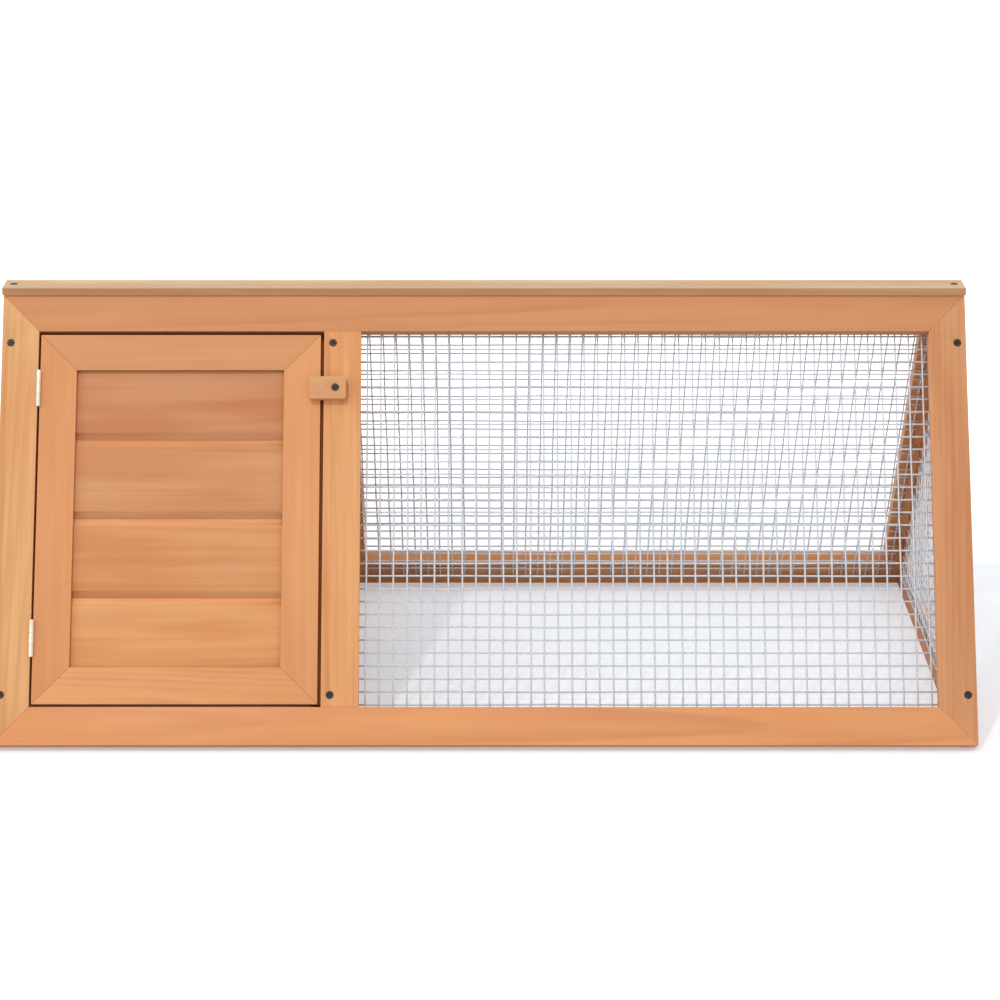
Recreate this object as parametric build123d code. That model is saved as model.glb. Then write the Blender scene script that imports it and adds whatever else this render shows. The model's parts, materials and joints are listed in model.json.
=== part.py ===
from build123d import *
import os
from math import cos, radians, sin, tan

# Rabbit cage: two framed panels lean together under a ridge board and two triangular gables close the ends.
# Millimetres. X runs along the length, the front panel faces -Y, Z is up and the cage stands on Z = 0.
# A panel is laid out flat: x along the length, s up the slope from its outer foot, h out of its outer face.

# Overall form
cage_length = 980.0
slope_length = 460.0
lean = 30.0
ridge_gap = 0.6

# Timber
panel_thickness = 16.0
gable_thickness = 18.0
rail_width = 38.0
stile_width = 37.4
leg_width = 38.0
sill_height = 38.0
board_thickness = 8.0
seat_gap = 0.1

# Divider between the sheltered end and the run
divider_x = -153.5
divider_inset = 14.0
doorway_width = 160.0
doorway_height = 190.0

# Ridge board
ridge_width = 32.6
ridge_thickness = 8.0
ridge_overhang = 1.0

# Door
door_stock_width = 37.0
hinge_side_gap = 2.4
latch_side_gap = 3.5
door_top_gap = 3.7
door_foot_gap = 2.8
stop_width = 12.0
stop_gap = 0.4

# Boards held in grooves, in the door and behind the sheltered end
board_count = 4
board_recess = 5.0
groove_depth = 10.0
groove_play = 0.15
bevel_height = 7.0
bevel_depth = 3.0
tongue_height = 6.0
tongue_thickness = 3.2
gable_board_count = 3
gable_board_inset = 1.0

# Wire mesh: a plate of crossing wires with fewer and wider gaps than the real net
wire_diameter = 1.2
mesh_gaps_long = 21
mesh_gaps_high = 14
mesh_lap = 16.0
mesh_side_clear = 2.0
gable_mesh_gap = 27.0
smallest_gap_area = 60.0

# Staples that hold the mesh
staple_width = 10.0
staple_wire = 1.0
staple_bite = 6.0
staple_from_edge = 5.0
staples_along = 5
staples_up = 3
gable_staples_spread = 0.6

# Screws through the panels and the ridge board
screw_length = 38.0
screw_radius = 1.9
screw_head_radius = 4.0
screw_head_depth = 2.3
screw_tip = 6.0
screw_from_end = 50.0
screw_play = 0.1
screw_point_radius = 0.3
recess_width = 1.0
recess_share = 0.6

# Hinges
hinge_length = 36.6
upper_hinge_from_top = 98.2
lower_hinge_from_foot = 106.0
barrel_radius = 2.5
barrel_stand_off = 2.4
pin_radius = 1.2
pin_play = 0.05
pin_head_radius = 1.8
pin_head_height = 0.8
leaf_thickness = 0.95
leaf_reach = 13.5
knuckle_gap = 0.3
hinge_screw_spacing = 22.0
hinge_screw_length = 12.0
hinge_screw_radius = 1.1
hinge_screw_head_radius = 2.1
hinge_screw_head_depth = 0.8
hinge_screw_tip = 3.0
hinge_screw_sink = 0.1

# Turn button that holds the door shut
button_length = 37.0
button_width = 23.0
button_thickness = 9.0
button_pivot_from_end = 10.9
button_from_stile_edge = 12.0
button_from_top = 98.5
button_gap = 0.4
button_screw_length = 30.0
button_corner = 2.0

# Sizes that follow
sin_a = sin(radians(lean))
cos_a = cos(radians(lean))
tan_a = tan(radians(lean))
half_length = cage_length / 2
foot_z = panel_thickness * sin_a
foot_y = slope_length * sin_a + panel_thickness * cos_a + ridge_gap / 2
inner_foot_y = foot_y - panel_thickness * cos_a
ridge_z = foot_z + slope_length * cos_a
gable_inner_x = half_length - gable_thickness
inner_face = -panel_thickness
inner_rail_top = slope_length - rail_width
side_inner_x = half_length - stile_width
divider_left = divider_x - gable_thickness / 2
divider_right = divider_x + gable_thickness / 2
middle_left = divider_left
middle_right = middle_left + stile_width
back_middle_left = divider_x - stile_width / 2
back_middle_right = divider_x + stile_width / 2
leg_run = leg_width / cos_a

front = Plane(origin=(0, -foot_y, foot_z), x_dir=(1, 0, 0), z_dir=(0, -cos_a, sin_a))
back = Plane(origin=(0, foot_y, foot_z), x_dir=(-1, 0, 0), z_dir=(0, cos_a, sin_a))

pieces = {}


def slab(plane, x0, x1, s0, s1, h0, h1):
    """A straight bar in a panel's own directions."""
    centre = Pos((x0 + x1) / 2, (s0 + s1) / 2, (h0 + h1) / 2)
    return plane * centre * Box(x1 - x0, s1 - s0, h1 - h0)


def prism(plane, corners, h0, h1):
    """A flat outline in a plane, made solid from h0 to h1."""
    face = make_face(Polyline(*corners, close=True))
    return plane * Pos(0, 0, h0) * extrude(face, amount=h1 - h0)


def across(plane, x):
    """The plane that cuts a panel at x: its own x runs up the slope and its own y out of the panel."""
    return Plane(plane.from_local_coords((x, 0, 0)), x_dir=plane.y_dir, z_dir=plane.x_dir)


def end_plane(x):
    """The upright plane at x, whose own x is the cage's Y and whose own y is the cage's Z."""
    return Plane(origin=(x, 0, 0), x_dir=(0, 1, 0), z_dir=(1, 0, 0))


def mitred_frame(plane, x0, x1, s0, s1, across_width, up_width, thickness):
    """Four members with mitred corners: top rail, foot rail, low-x stile and high-x stile."""
    a0, a1 = x0 + up_width, x1 - up_width
    b0, b1 = s0 + across_width, s1 - across_width
    top = prism(plane, [(x0, s1), (a0, b1), (a1, b1), (x1, s1)], -thickness, 0)
    foot = prism(plane, [(x0, s0), (x1, s0), (a1, b0), (a0, b0)], -thickness, 0)
    low = prism(plane, [(x0, s0), (a0, b0), (a0, b1), (x0, s1)], -thickness, 0)
    high = prism(plane, [(x1, s0), (x1, s1), (a1, b1), (a1, b0)], -thickness, 0)
    return top, foot, low, high


def board_outline(bottom, top, lowest, highest):
    """One board's section: bevelled where boards meet, with a tongue at its top and a rebate at its foot."""
    face = -board_recess
    rear = face - board_thickness
    step = rear + tongue_thickness
    if lowest:
        foot = [(bottom, rear), (bottom, face)]
    else:
        rebate = step + groove_play
        foot = [(bottom + tongue_height, rear), (bottom + tongue_height, rebate)]
        foot += [(bottom + groove_play, rebate), (bottom + groove_play, face - bevel_depth)]
        foot += [(bottom + bevel_height, face)]
    if highest:
        head = [(top, face), (top, rear)]
    else:
        head = [(top - bevel_height, face), (top, face - bevel_depth), (top, step)]
        head += [(top + tongue_height - groove_play, step), (top + tongue_height - groove_play, rear)]
    return foot + head


def grooved_boards(plane, x0, x1, s0, s1):
    """Boards that fill a framed opening with their ends in its groove, and the solid that cuts the groove."""
    low, high = s0 - groove_depth, s1 + groove_depth
    pitch = (high - low) / board_count
    boards = []
    for i in range(board_count):
        lowest, highest = i == 0, i == board_count - 1
        corners = board_outline(low + i * pitch, low + (i + 1) * pitch, lowest, highest)
        start, end = x0 - groove_depth, x1 + groove_depth
        boards.append(prism(across(plane, 0), corners, start, end))
    grown = groove_depth + groove_play
    back_wall = -board_recess - board_thickness - groove_play
    groove = slab(plane, x0 - grown, x1 + grown, s0 - grown, s1 + grown, back_wall, groove_play - board_recess)
    return boards, groove


def screw(length, radius, head_radius, head_depth, tip, play=0.0):
    """A countersunk screw along -Z with its head's face at zero; with play it is the hole for one."""
    shank = length - head_depth - tip
    head = Cone(radius + play, head_radius + play, head_depth)
    body = Pos(0, 0, -head_depth / 2) * head
    body += Pos(0, 0, -head_depth - shank / 2) * Cylinder(radius + play, shank)
    point = Cone(screw_point_radius + play, radius + play, tip)
    body += Pos(0, 0, -length + tip / 2) * point
    if play == 0.0:
        arm = 2 * head_radius * recess_share
        deep = head_depth * recess_share
        for wide, high in ((arm, recess_width), (recess_width, arm)):
            slot = Box(wide, high, deep)
            body -= Pos(0, 0, -deep / 2) * slot
    return body


def panel_screw(play=0.0):
    return screw(screw_length, screw_radius, screw_head_radius, screw_head_depth, screw_tip, play)


def hinge_screw(play=0.0):
    size = (hinge_screw_length, hinge_screw_radius, hinge_screw_head_radius, hinge_screw_head_depth)
    return screw(*size, hinge_screw_tip, play)


def button_screw(play=0.0):
    return screw(button_screw_length, screw_radius, screw_head_radius, screw_head_depth, screw_tip, play)


def panel_spots(plane):
    """Where the screws go through a panel: into both gables and the divider, near the top and the foot."""
    middle = gable_thickness / 2
    along = (middle - half_length, divider_x, half_length - middle)
    turn = plane.x_dir.X
    heights = (screw_from_end, slope_length - screw_from_end)
    return [plane * Pos(turn * x, s, 0) for x in along for s in heights]


def net(plane, outline, gaps, h0, h1):
    """A flat plate with many gaps, as one holed face."""
    rim = Wire.make_polygon([Vector(*p, 0) for p in outline], close=True)
    holes = [Wire.make_polygon([Vector(*p, 0) for p in gap], close=True) for gap in gaps]
    face = Face(rim, holes)
    return plane * Pos(0, 0, h0) * extrude(face, amount=h1 - h0, dir=(0, 0, 1))


def rectangle(x0, x1, s0, s1):
    return [(x0, s0), (x1, s0), (x1, s1), (x0, s1)]


def panel_mesh(plane, x0, x1, edge0, edge1):
    """Mesh on a panel's inner face over the opening from x0 to x1; it reaches edge0 and edge1 on the stiles."""
    step_x = (x1 - x0) / mesh_gaps_long
    step_s = (inner_rail_top - rail_width) / mesh_gaps_high
    half_wire = wire_diameter / 2
    gaps = []
    for i in range(mesh_gaps_long):
        for j in range(mesh_gaps_high):
            left, foot = x0 + i * step_x, rail_width + j * step_s
            cell = (left + half_wire, left + step_x - half_wire, foot + half_wire, foot + step_s - half_wire)
            gaps.append(rectangle(*cell))
    outline = rectangle(edge0, edge1, rail_width - mesh_lap, inner_rail_top + mesh_lap)
    return net(plane, outline, gaps, inner_face - wire_diameter, inner_face)


def staple(plane, x, s, upright):
    """One staple over the mesh, with its legs driven out towards the panel's face."""
    crown_h = inner_face - wire_diameter - staple_wire
    leg_top = inner_face + staple_bite
    half = staple_width / 2
    thin = staple_wire / 2
    ends = (half - thin, thin - half)
    if upright:
        body = slab(plane, x - thin, x + thin, s - half, s + half, crown_h, crown_h + staple_wire)
        spots = [(x, s + e) for e in ends]
    else:
        body = slab(plane, x - half, x + half, s - thin, s + thin, crown_h, crown_h + staple_wire)
        spots = [(x + e, s) for e in ends]
    for cx, cs in spots:
        body += slab(plane, cx - thin, cx + thin, cs - thin, cs + thin, crown_h, leg_top)
    return body


def panel_staples(plane, edge0, edge1):
    """Staples round a panel's mesh."""
    foot = rail_width - staple_from_edge
    head = inner_rail_top + staple_from_edge
    low_x, high_x = edge0 + staple_from_edge, edge1 - staple_from_edge
    made = []
    for i in range(staples_along):
        x = low_x + (high_x - low_x) * (i + 0.5) / staples_along
        made += [staple(plane, x, foot, False), staple(plane, x, head, False)]
    for i in range(staples_up):
        s = foot + (head - foot) * (i + 0.5) / staples_up
        made += [staple(plane, low_x, s, True), staple(plane, high_x, s, True)]
    return made


def cut(names, tools):
    """Cuts the same holes in several pieces."""
    for name in names:
        pieces[name] = pieces[name] - tools


# Front panel frame
names = ("front_top_rail", "front_bottom_rail", "front_left_stile", "front_right_stile")
sides = mitred_frame(front, -half_length, half_length, 0, slope_length, rail_width, stile_width, panel_thickness)
pieces.update(zip(names, sides))
pieces["front_middle_stile"] = slab(front, middle_left, middle_right, rail_width, inner_rail_top, inner_face, 0)
front_members = names + ("front_middle_stile",)

# Back panel frame; its own x runs the other way, so the sheltered end is at high x
names = ("back_top_rail", "back_bottom_rail", "back_right_stile", "back_left_stile")
sides = mitred_frame(back, -half_length, half_length, 0, slope_length, rail_width, stile_width, panel_thickness)
pieces.update(zip(names, sides))
pieces["back_middle_stile"] = slab(
    back, -back_middle_right, -back_middle_left, rail_width, inner_rail_top, inner_face, 0
)
back_members = names + ("back_middle_stile",)

# Boards of the back panel behind the sheltered end
boards, groove = grooved_boards(back, -back_middle_left, side_inner_x, rail_width, inner_rail_top)
for i, board in enumerate(boards):
    pieces[f"back_board_{i + 1}"] = board
cut(("back_top_rail", "back_bottom_rail", "back_left_stile", "back_middle_stile"), groove)

# Mesh and staples of the two panels; the mesh stops clear of the divider's and the gable's legs
mesh_low = divider_right + mesh_side_clear
mesh_high = gable_inner_x - mesh_side_clear
pieces["front_mesh"] = panel_mesh(front, middle_right, side_inner_x, mesh_low, mesh_high)
pieces["back_mesh"] = panel_mesh(back, -side_inner_x, -back_middle_right, -mesh_high, -mesh_low)
front_staples = panel_staples(front, mesh_low, mesh_high)
back_staples = panel_staples(back, -mesh_high, -mesh_low)
cut(("front_mesh", *front_members), front_staples)
cut(("back_mesh", *back_members), back_staples)
pieces["front_staples"] = Compound(children=front_staples)
pieces["back_staples"] = Compound(children=back_staples)


def leg(x0, x1, side):
    """A sloping leg behind a panel, from the floor to the ridge, where the two legs of a pair meet."""
    foot_out = inner_foot_y - seat_gap
    foot_in = foot_out - leg_run
    meet = seat_gap / 2
    outline = [(foot_out, 0), (foot_in, 0), (meet, (foot_in - meet) / tan_a), (meet, (foot_out - meet) / tan_a)]
    return prism(end_plane(x0), [(side * y, z) for y, z in outline], 0, x1 - x0)


def sill(x0, x1):
    """The cross member between a gable's two legs at the floor."""
    low = inner_foot_y - seat_gap - leg_run - seat_gap
    high = low - sill_height * tan_a
    outline = [(-low, 0), (low, 0), (high, sill_height), (-high, sill_height)]
    return prism(end_plane(x0), outline, 0, x1 - x0)


def half_width(z, inset):
    """Half the clear width between the two panels at a height, less an inset square to the slope."""
    return inner_foot_y - z * tan_a - inset / cos_a


def trapezium(z0, z1, inset):
    """A level strip of the cage's triangular section; it comes to a point where the strip reaches the top."""
    wide, narrow = half_width(z0, inset), half_width(z1, inset)
    if narrow < ridge_gap:
        peak = (inner_foot_y - inset / cos_a) / tan_a
        return [(-wide, z0), (wide, z0), (0, peak)]
    return [(-wide, z0), (wide, z0), (narrow, z1), (-narrow, z1)]


# Gables and the divider's legs
for end, x0, x1 in (("left_gable", -half_length, -gable_inner_x), ("right_gable", gable_inner_x, half_length)):
    pieces[f"{end}_front_leg"] = leg(x0, x1, -1)
    pieces[f"{end}_back_leg"] = leg(x0, x1, 1)
    pieces[f"{end}_sill"] = sill(x0, x1)
pieces["divider_front_leg"] = leg(divider_left, divider_right, -1)
pieces["divider_back_leg"] = leg(divider_left, divider_right, 1)

# Boards on the inner face of the left gable
gable_peak = inner_foot_y / tan_a
gable_board_height = (gable_peak - sill_height / 2) / gable_board_count
for i in range(gable_board_count):
    z0 = sill_height / 2 + i * gable_board_height + seat_gap
    z1 = z0 + gable_board_height - seat_gap
    shape = prism(end_plane(-gable_inner_x), trapezium(z0, z1, gable_board_inset), 0, board_thickness)
    pieces[f"left_gable_board_{i + 1}"] = shape

# Divider boards on the sheltered side, with a doorway down to the floor
board_plane = end_plane(divider_left - board_thickness)
jamb = doorway_width / 2
for name, side in (("divider_front_board", -1), ("divider_back_board", 1)):
    outer_low, outer_high = half_width(0, divider_inset), half_width(doorway_height, divider_inset)
    outline = [(jamb, seat_gap), (outer_low, seat_gap), (outer_high, doorway_height), (jamb, doorway_height)]
    pieces[name] = prism(board_plane, [(side * y, z) for y, z in outline], 0, board_thickness)
upper = trapezium(doorway_height + seat_gap, gable_peak, divider_inset)
pieces["divider_top_board"] = prism(board_plane, upper, 0, board_thickness)

# Strip on the divider that the leaning door rests against
stop_face = inner_face - stop_gap
pieces["door_stop"] = slab(
    front,
    divider_left - stop_width,
    divider_left,
    rail_width + door_foot_gap + 2 * stop_gap,
    inner_rail_top - door_top_gap - 2 * stop_gap,
    stop_face - stop_width,
    stop_face,
)

# Mesh on the inner face of the right gable
mesh_x = gable_inner_x - wire_diameter
lap_inset = leg_width - mesh_lap
rim_low = sill_height - mesh_lap
rim = trapezium(rim_low, gable_peak, lap_inset)
clear = trapezium(sill_height, gable_peak, leg_width + seat_gap)
opening = make_face(Polyline(*clear, close=True))
cells = []
rows = int((clear[2][1] - sill_height) / gable_mesh_gap) + 1
columns = int(clear[1][0] / gable_mesh_gap) + 1
for i in range(-columns, columns):
    for j in range(rows):
        cell_size = gable_mesh_gap - wire_diameter
        centre = Pos((i + 0.5) * gable_mesh_gap, sill_height + (j + 0.5) * gable_mesh_gap)
        cell = opening & (centre * Rectangle(cell_size, cell_size))
        if cell is not None and cell.area > smallest_gap_area:
            cells.append(cell)
plate = make_face(Polyline(*rim, close=True)) - cells
pieces["right_gable_mesh"] = end_plane(mesh_x) * extrude(plate, amount=wire_diameter)


def gable_staple(y, z, turn):
    """One staple on the right gable's mesh, with its legs driven out into the timber."""
    half, thin = staple_width / 2, staple_wire / 2
    reach = staple_wire + wire_diameter + staple_bite
    body = Pos(0, 0, thin) * Box(staple_width, staple_wire, staple_wire)
    for end in (half - thin, thin - half):
        body += Pos(end, 0, reach / 2) * Box(staple_wire, staple_wire, reach)
    return end_plane(mesh_x - staple_wire) * Pos(y, z, 0) * Rot(0, 0, turn) * body


gable_staples = []
sill_reach = half_width(sill_height, leg_width)
for share in (-gable_staples_spread, 0.0, gable_staples_spread):
    gable_staples.append(gable_staple(share * sill_reach, sill_height - staple_from_edge, 0))
for side in (-1, 1):
    for i in range(staples_up):
        z = sill_height + (i + 0.5) / staples_up * (clear[2][1] - sill_height)
        y = side * half_width(z, leg_width - staple_from_edge)
        gable_staples.append(gable_staple(y, z, side * (lean - 90)))
cut(("right_gable_mesh", "right_gable_front_leg", "right_gable_back_leg", "right_gable_sill"), gable_staples)
pieces["right_gable_staples"] = Compound(children=gable_staples)

# Ridge board
ridge_low = ridge_z + seat_gap
ridge_top = ridge_low + ridge_thickness
ridge_reach = half_length + ridge_overhang
ridge_board = Box(2 * ridge_reach, ridge_width, ridge_thickness)
pieces["ridge_board"] = Pos(0, 0, ridge_low + ridge_thickness / 2) * ridge_board

# Screws: panels to gables and divider, and the ridge board to the gables
legs = {
    front: ("left_gable_front_leg", "right_gable_front_leg", "divider_front_leg"),
    back: ("left_gable_back_leg", "right_gable_back_leg", "divider_back_leg"),
}
front_spots = panel_spots(front)
back_spots = panel_spots(back)
front_holes = [spot * panel_screw(screw_play) for spot in front_spots]
back_holes = [spot * panel_screw(screw_play) for spot in back_spots]
stiles = ("left_stile", "middle_stile", "right_stile")
cut([f"front_{stile}" for stile in stiles] + list(legs[front]), front_holes)
cut([f"back_{stile}" for stile in stiles] + list(legs[back]), back_holes)
pieces["front_panel_screws"] = Compound(children=[spot * panel_screw() for spot in front_spots])
pieces["back_panel_screws"] = Compound(children=[spot * panel_screw() for spot in back_spots])
gable_centre = half_length - gable_thickness / 2
ridge_spots = [Pos(side * gable_centre, 0, ridge_top) for side in (-1, 1)]
ridge_holes = [spot * panel_screw(screw_play) for spot in ridge_spots]
gable_legs = [f"{end}_gable_{face}_leg" for end in ("left", "right") for face in ("front", "back")]
cut(["ridge_board", "front_top_rail", "back_top_rail"] + gable_legs, ridge_holes)
pieces["ridge_screws"] = Compound(children=[spot * panel_screw() for spot in ridge_spots])

# Door frame and boards
door_left = hinge_side_gap - side_inner_x
door_right = middle_left - latch_side_gap
door_foot = rail_width + door_foot_gap
door_head = inner_rail_top - door_top_gap
names = ("door_top_rail", "door_bottom_rail", "door_hinge_stile", "door_latch_stile")
width = door_stock_width
sides = mitred_frame(front, door_left, door_right, door_foot, door_head, width, width, panel_thickness)
pieces.update(zip(names, sides))
boards, groove = grooved_boards(front, door_left + width, door_right - width, door_foot + width, door_head - width)
for i, board in enumerate(boards):
    pieces[f"door_board_{i + 1}"] = board
cut(names, groove)

# Hinges: the leaves lie in the gap between stile and door, and the barrel stands just proud of the face
axis_x = (door_left - side_inner_x) / 2
leaf_top = -knuckle_gap - barrel_radius + barrel_stand_off
leaf_foot = leaf_top - leaf_reach


def barrel(s0, s1, radius):
    """A cylinder on the hinge's axis."""
    spot = front.from_local_coords((axis_x, s0, barrel_stand_off))
    return Plane(spot, x_dir=(1, 0, 0), z_dir=front.y_dir) * extrude(Circle(radius), amount=s1 - s0)


def leaf(x0, x1, s0, s1, knuckles):
    """A hinge leaf with its knuckles and the bore for the pin."""
    plate = slab(front, x0, x1, s0, s1, leaf_foot, leaf_top)
    for k0, k1 in knuckles:
        neck = slab(front, x0, x1, k0, k1, leaf_top - leaf_thickness, barrel_stand_off)
        plate = plate + neck + barrel(k0, k1, barrel_radius)
    return plate - barrel(s0 - pin_play, s1 + pin_play, pin_radius + pin_play)


def edge_plane(x, s, toward):
    """A plane on a leaf's face, looking out of it along +X or -X."""
    h = (leaf_foot + leaf_top) / 2
    return Plane(front.from_local_coords((x, s, h)), x_dir=front.y_dir, z_dir=(toward, 0, 0))


third = hinge_length / 3
frame_screws = []
door_screws = []
frame_screw_holes = []
door_screw_holes = []
for name, centre in (("upper", slope_length - upper_hinge_from_top), ("lower", lower_hinge_from_foot)):
    s0, s1 = centre - hinge_length / 2, centre + hinge_length / 2
    frame_face = -side_inner_x + seat_gap + leaf_thickness
    door_face = door_left - seat_gap - leaf_thickness
    outer_knuckles = ((s0, s0 + third), (s1 - third, s1))
    inner_knuckle = ((s0 + third + knuckle_gap, s1 - third - knuckle_gap),)
    frame_leaf = leaf(frame_face - leaf_thickness, frame_face, s0, s1, outer_knuckles)
    door_leaf = leaf(door_face, door_face + leaf_thickness, s0, s1, inner_knuckle)
    for s in (centre - hinge_screw_spacing / 2, centre + hinge_screw_spacing / 2):
        frame_spot = edge_plane(frame_face - hinge_screw_sink, s, 1)
        door_spot = edge_plane(door_face + hinge_screw_sink, s, -1)
        frame_screws.append(frame_spot * hinge_screw())
        door_screws.append(door_spot * hinge_screw())
        mouth = Cylinder(hinge_screw_head_radius + screw_play, 2 * hinge_screw_sink)
        frame_screw_holes.append(frame_spot * (hinge_screw(screw_play) + mouth))
        door_screw_holes.append(door_spot * (hinge_screw(screw_play) + mouth))
    pin = barrel(s0, s1, pin_radius) + barrel(s1 + pin_play, s1 + pin_play + pin_head_height, pin_head_radius)
    pin += barrel(s1, s1 + pin_play, pin_radius)
    pieces[f"hinge_{name}_frame_leaf"] = frame_leaf
    pieces[f"hinge_{name}_door_leaf"] = door_leaf
    pieces[f"hinge_{name}_pin"] = pin
cut(("hinge_upper_frame_leaf", "hinge_lower_frame_leaf", "front_left_stile"), frame_screw_holes)
cut(("hinge_upper_door_leaf", "hinge_lower_door_leaf", "door_hinge_stile"), door_screw_holes)
pieces["hinge_frame_screws"] = Compound(children=frame_screws)
pieces["hinge_door_screws"] = Compound(children=door_screws)

# Turn button and its screw
pivot_x = middle_left + button_from_stile_edge
pivot_s = slope_length - button_from_top
button_right = pivot_x + button_pivot_from_end
button_top_h = button_gap + button_thickness
block = slab(
    front,
    button_right - button_length,
    button_right,
    pivot_s - button_width / 2,
    pivot_s + button_width / 2,
    button_gap,
    button_top_h,
)
block = fillet(block.edges().filter_by(Axis(front.origin, front.z_dir)), button_corner)
button_spot = front * Pos(pivot_x, pivot_s, button_top_h)
button_hole = button_spot * button_screw(screw_play)
pieces["turn_button"] = block - button_hole
cut(("front_middle_stile", "divider_front_leg"), button_hole)
pieces["turn_button_screw"] = button_spot * button_screw()

os.makedirs("parts", exist_ok=True)
for name, shape in pieces.items():
    export_step(shape, f"parts/{name}.step")
print("pieces", len(pieces))
print("overall depth", round(2 * foot_y, 1), "height", round(ridge_top, 1))
print("door hinge axis x", round(axis_x, 3), "pivot x", round(pivot_x, 3), "pivot s", pivot_s)
print("hinge point", front.from_local_coords((axis_x, lower_hinge_from_foot, barrel_stand_off)))
print("button point", front.from_local_coords((pivot_x, pivot_s, 0)))
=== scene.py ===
# %% [markdown]
# Rabbit cage in Blender, a lesson in cells.
# The real cage is a low tent of honey-stained fir: two framed panels lean together under a ridge board, and
# a triangular gable closes each end. A small door with a wooden turn button hangs in the front panel, and
# welded wire net fills the rest. The construction is loaded as a fixed frame, and this lesson gives it its
# surfaces: softened timber with its own grain, round galvanised wires at their true pitch, staples, hinges
# and screws.

import json
from math import atan, cos, degrees, radians, sin

import bpy
from mathutils import Matrix, Vector


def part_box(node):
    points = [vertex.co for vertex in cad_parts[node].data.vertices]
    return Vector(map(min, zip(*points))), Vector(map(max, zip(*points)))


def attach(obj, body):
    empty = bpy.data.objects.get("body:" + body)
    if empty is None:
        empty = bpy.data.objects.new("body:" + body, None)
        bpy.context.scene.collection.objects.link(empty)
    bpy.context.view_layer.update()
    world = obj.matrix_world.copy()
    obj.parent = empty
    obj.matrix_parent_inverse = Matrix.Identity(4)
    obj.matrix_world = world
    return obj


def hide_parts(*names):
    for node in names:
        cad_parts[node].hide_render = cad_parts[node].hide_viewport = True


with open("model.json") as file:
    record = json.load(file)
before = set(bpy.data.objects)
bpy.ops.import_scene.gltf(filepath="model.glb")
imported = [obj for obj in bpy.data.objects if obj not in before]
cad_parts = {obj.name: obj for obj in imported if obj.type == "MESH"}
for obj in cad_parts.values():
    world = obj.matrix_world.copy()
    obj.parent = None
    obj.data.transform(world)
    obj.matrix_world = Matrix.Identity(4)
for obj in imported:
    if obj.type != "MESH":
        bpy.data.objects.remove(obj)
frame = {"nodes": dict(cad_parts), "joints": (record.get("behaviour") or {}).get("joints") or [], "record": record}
bpy.ops.object.select_all(action="DESELECT")
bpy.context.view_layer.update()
body_of_node = {n: body for body, names in frame["record"]["behaviour"]["bodies"].items() for n in names}
slot_of_node = {s["node"]: s["material_slot"] for s in frame["record"]["subparts"]}

# %% [markdown]
# Each panel is easiest to think of lying flat: x along the cage, s up the slope from the outer foot, and h
# out of the outer face. The two joints already hold those directions. The door's hinge runs down the slope
# and the turn button's screw stands square to the face, so the directions are read from them instead of
# typed again.

# %% Directions of the two panels
axes = {joint["name"]: Vector(joint["axis"]) for joint in frame["joints"]}
up_front = -axes["door_hinge"]
out_front = axes["turn_button_pivot"]
mirror = Matrix.Diagonal((1.0, -1.0, 1.0))
ALONG = Vector((1.0, 0.0, 0.0))
ACROSS = Vector((0.0, 1.0, 0.0))
panel_thickness = 0.016
slopes = {"front": (up_front, out_front), "back": (mirror @ up_front, mirror @ out_front)}
foot_height = panel_thickness * out_front.z
feet = {
    "front": Vector((0.0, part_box("front_bottom_rail")[0].y, foot_height)),
    "back": Vector((0.0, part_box("back_bottom_rail")[1].y, foot_height)),
}


def on_panel(side, x, s, h):
    """The place of a point given in a panel's own directions."""
    up, out = slopes[side]
    return feet[side] + ALONG * x + up * s + out * h


lean = 90 - degrees(atan(up_front.z / up_front.y))
print("front panel leans", round(lean, 1), "degrees from upright")

# %% [markdown]
# A few small helpers keep the later cells short. A finished piece has its place in its mesh and its object
# at the origin, it rides on a body of the frame, and it takes its finish from a named slot of the record.


# %% Helpers
def pick(piece):
    """Makes a piece the only one selected, and the active one."""
    bpy.ops.object.select_all(action="DESELECT")
    piece.select_set(True)
    bpy.context.view_layer.objects.active = piece


def copy_of(name, ending):
    """A copy of one of the frame's pieces, with a mesh of its own."""
    piece = bpy.data.objects.new(name + ending, frame["nodes"][name].data.copy())
    bpy.context.scene.collection.objects.link(piece)
    return piece


def edit(piece, mode):
    """Readies a piece for a choice of points, edges or faces, with none of them chosen yet."""
    pick(piece)
    bpy.ops.object.mode_set(mode="EDIT")
    bpy.ops.mesh.select_mode(type=mode)
    bpy.ops.mesh.select_all(action="DESELECT")
    bpy.ops.object.mode_set(mode="OBJECT")


def back_to_edit():
    """Returns to editing with the selection that code has just made."""
    bpy.ops.object.mode_set(mode="EDIT")


def close_edit():
    """Leaves editing, so that code can read and choose the mesh's parts."""
    bpy.ops.object.mode_set(mode="OBJECT")


def join(pieces, name):
    """Joins several objects into one with a given name."""
    bpy.ops.object.select_all(action="DESELECT")
    for piece in pieces:
        piece.select_set(True)
    bpy.context.view_layer.objects.active = pieces[0]
    bpy.ops.object.join()
    whole = pieces[0]
    whole.name = name
    whole.data.name = name
    return whole


def dress(piece, material, nodes):
    """Gives a piece its material and its body, and hides the frame's nodes that it stands for."""
    piece.data.materials.clear()
    piece.data.materials.append(material)
    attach(piece, body_of_node[nodes[0]])
    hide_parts(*nodes)


# %% [markdown]
# The finishes are built from shader nodes. Laying them out by hand suits one finish. This cage needs
# fourteen that share most of their steps, so each kind of step is one short function that adds a node and
# links it.


# %% Node helpers
def new_group(name, inputs, outputs):
    """A shader group with named sockets."""
    group = bpy.data.node_groups.new(name, "ShaderNodeTree")
    for label, kind, value in inputs:
        socket = group.interface.new_socket(label, in_out="INPUT", socket_type=kind)
        if value is not None:
            socket.default_value = value
    for label, kind in outputs:
        group.interface.new_socket(label, in_out="OUTPUT", socket_type=kind)
    return group


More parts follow.
